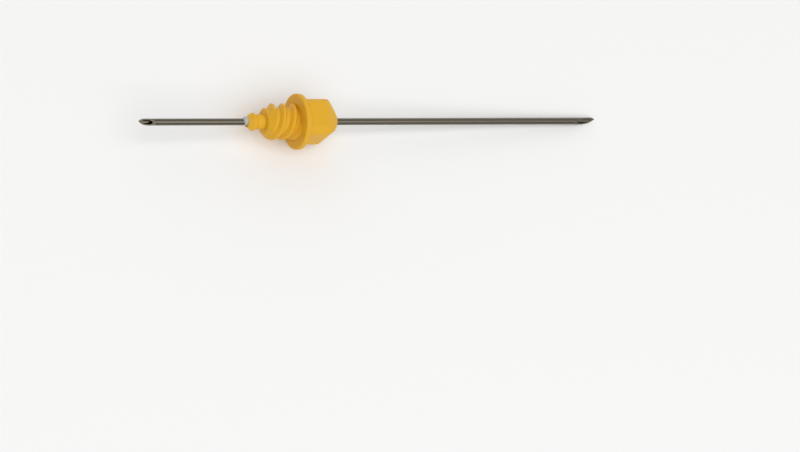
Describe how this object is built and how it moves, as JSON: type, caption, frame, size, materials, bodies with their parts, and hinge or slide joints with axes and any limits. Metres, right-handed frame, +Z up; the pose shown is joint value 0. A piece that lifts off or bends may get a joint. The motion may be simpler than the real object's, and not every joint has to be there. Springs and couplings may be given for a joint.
{
  "type": "blood collection needle",
  "caption": "Double-ended blood collection needle: a ground steel tube bonded into a moulded hub with a screw thread, a disc flange and a square body.",
  "frame": {"origin": "on the surface that the needle lies on, under the middle of its bounding box", "axes": "+Z up; the needle lies along X with its patient end towards +X, tipped down by 4.2 degrees so that it rests on its flange rim and its front point"},
  "size_m": [0.0668, 0.0072, 0.0073],
  "materials": {
    "steel_tube": "drawn and ground",
    "moulded_hub": "moulded, satin gloss",
    "epoxy": "cured resin"
  },
  "bodies": {
    "root": {"cannula": "steel_tube", "hub": "moulded_hub", "adhesive_bead": "epoxy"}
  },
  "joints": []
}
